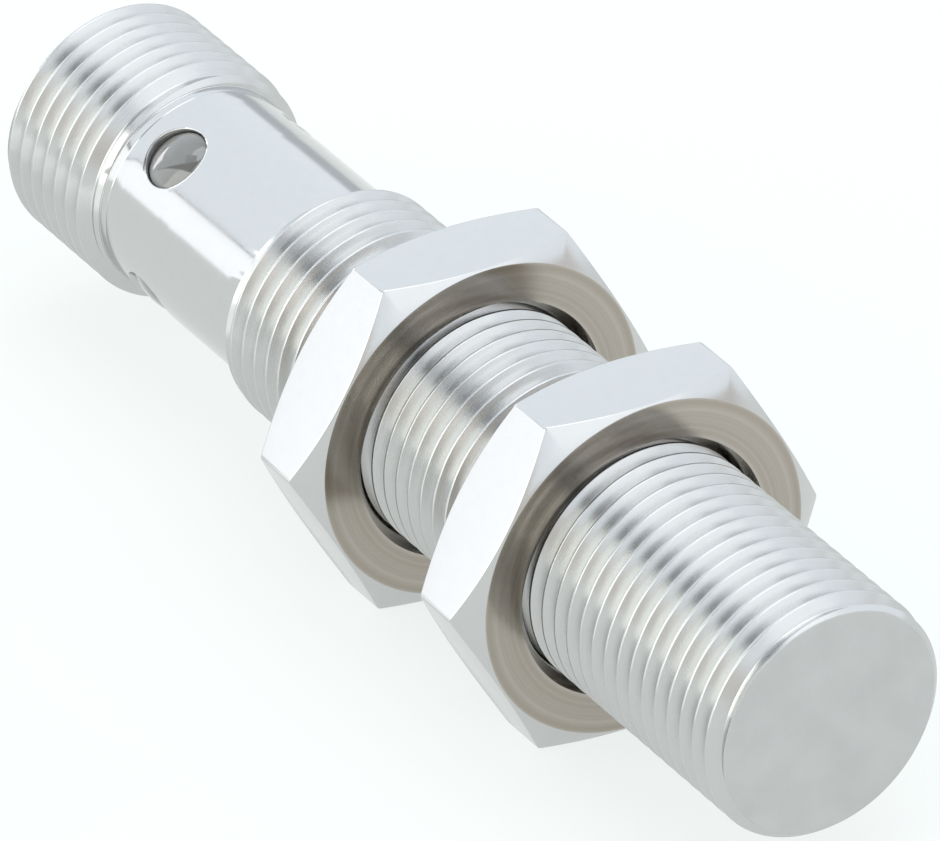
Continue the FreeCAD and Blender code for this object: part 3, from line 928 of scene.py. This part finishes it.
def make_floor():
    half = 3.0
    level = FLOOR * MM
    mesh = bpy.data.meshes.new("studio_floor")
    corners = [(-half, -half, level), (half, -half, level), (half, half, level), (-half, half, level)]
    mesh.from_pydata(corners, [], [(0, 1, 2, 3)])
    floor = bpy.data.objects.new("studio_floor", mesh)
    bpy.context.scene.collection.objects.link(floor)
    material, tree, shader = new_material("floor_white_table")
    shader.inputs["Base Color"].default_value = (0.16, 0.16, 0.16, 1)
    shader.inputs["Roughness"].default_value = 0.9
    shader.inputs["Specular IOR Level"].default_value = 0.0
    shader.inputs["Emission Color"].default_value = (0.96, 1.0, 0.985, 1)
    shader.inputs["Emission Strength"].default_value = 0.78
    floor.data.materials.append(material)


def make_world():
    world = bpy.data.worlds.new("studio_tent")
    world.use_nodes = True
    background = world.node_tree.nodes["Background"]
    background.inputs["Color"].default_value = (0.935, 1.0, 1.06, 1)
    background.inputs["Strength"].default_value = 1.34
    bpy.context.scene.world = world


def left_softbox_top(azimuth):
    """The upper edge of a flat panel that faces azimuth -65."""
    return math.degrees(math.atan(1.56 * math.cos(math.radians(azimuth + 65.5))))


def make_table_panel():
    """A brighter sheet on the table to the object's left, seen only in the metal."""
    points = []
    for azimuth in range(-128, -69, 2):
        for reach in (0.022, 1.4):
            a = math.radians(azimuth)
            x = STUDIO_CENTRE.x + reach * math.cos(a)
            points.append((x, reach * math.sin(a), (FLOOR + 0.2) * MM))
    faces = [(i, i + 1, i + 3, i + 2) for i in range(0, len(points) - 2, 2)]
    mesh = bpy.data.meshes.new("table_panel")
    mesh.from_pydata(points, [], faces)
    panel = bpy.data.objects.new("table_panel", mesh)
    bpy.context.scene.collection.objects.link(panel)
    panel.data.materials.append(glowing("table_panel_light", (0.95, 1.0, 0.98), 1.5))
    panel.visible_camera = False


make_floor()
make_table_panel()
make_world()
patch("overhead_softbox", spread(0, 360, 64, 90, step=10), (0.95, 1.0, 1.04), 2.6)
left = [(a, 0.0, left_softbox_top(a)) for a in range(-150, -65, 3)]
patch("left_softbox", left, (0.97, 1.0, 1.03), 1.75)
left_middle = [(a, 0.5, left_softbox_top(a) - 1.5) for a in range(-116, -65, 3)]
patch("left_softbox_middle", left_middle, (0.97, 1.01, 0.96), 2.9, distance=1.45)
gap = []
for a in range(-150, -84, 3):
    top = left_softbox_top(a)
    gap.append((a, top, top + 1.5 + max(a + 141, 0) * 0.85))
patch("left_gap", gap, (0.5, 0.44, 0.46), 0.14, distance=1.42)
patch("left_upper_gap", spread(-150, -88, 56, 73), (0.88, 0.92, 1.0), 0.85, distance=1.44)
patch("rear_left_softbox", spread(-176, -158, 1, 17), (1.0, 1.0, 1.0), 4.0)
patch("front_softbox", spread(-5, 42, 14, 60), (0.96, 1.0, 1.04), 1.6)
patch("front_horizon", spread(-60, 62, -1, 7), (0.8, 0.76, 0.72), 1.0)
patch("front_left_wall", spread(-62, -17, 7, 24), (0.95, 0.92, 0.88), 1.0)
patch("back_horizon", spread(100, 168, -1, 12), (0.75, 0.8, 0.85), 0.85)
patch("camera_side", spread(-36, -12, 33, 47), (0.9, 0.85, 0.85), 0.12, distance=1.4)

# ---------------------------------------------------------------- camera

CAMERA_AZIMUTH = 56.59
CAMERA_ELEVATION = 32.52
CAMERA_ROLL = 1.06
CAMERA_DISTANCE = 616.17
CAMERA_AIM = (-29.462, 0.308, -0.438)
CAMERA_LENS = 521.6


def make_camera():
    """Azimuth 0 looks along +Y, and 90 along -X."""
    a = math.radians(CAMERA_AZIMUTH)
    e = math.radians(CAMERA_ELEVATION)
    roll = math.radians(CAMERA_ROLL)
    ahead = Vector((-math.sin(a) * math.cos(e), math.cos(a) * math.cos(e), -math.sin(e)))
    level = ahead.cross(Vector((0, 0, 1))).normalized()
    above = level.cross(ahead)
    right = level * math.cos(roll) + above * math.sin(roll)
    up = above * math.cos(roll) - level * math.sin(roll)
    camera = bpy.data.objects.new("camera", bpy.data.cameras.new("camera"))
    camera.data.sensor_width = 36.0
    camera.data.lens = CAMERA_LENS
    camera.data.clip_start = 0.01
    camera.data.clip_end = 20.0
    place = (Vector(CAMERA_AIM) - ahead * CAMERA_DISTANCE) * MM
    camera.matrix_world = Matrix.Translation(place) @ Matrix((right, up, -ahead)).transposed().to_4x4()
    bpy.context.scene.collection.objects.link(camera)
    bpy.context.scene.camera = camera


make_camera()
bpy.context.scene.view_settings.view_transform = "Standard"

bpy.context.view_layer.update()
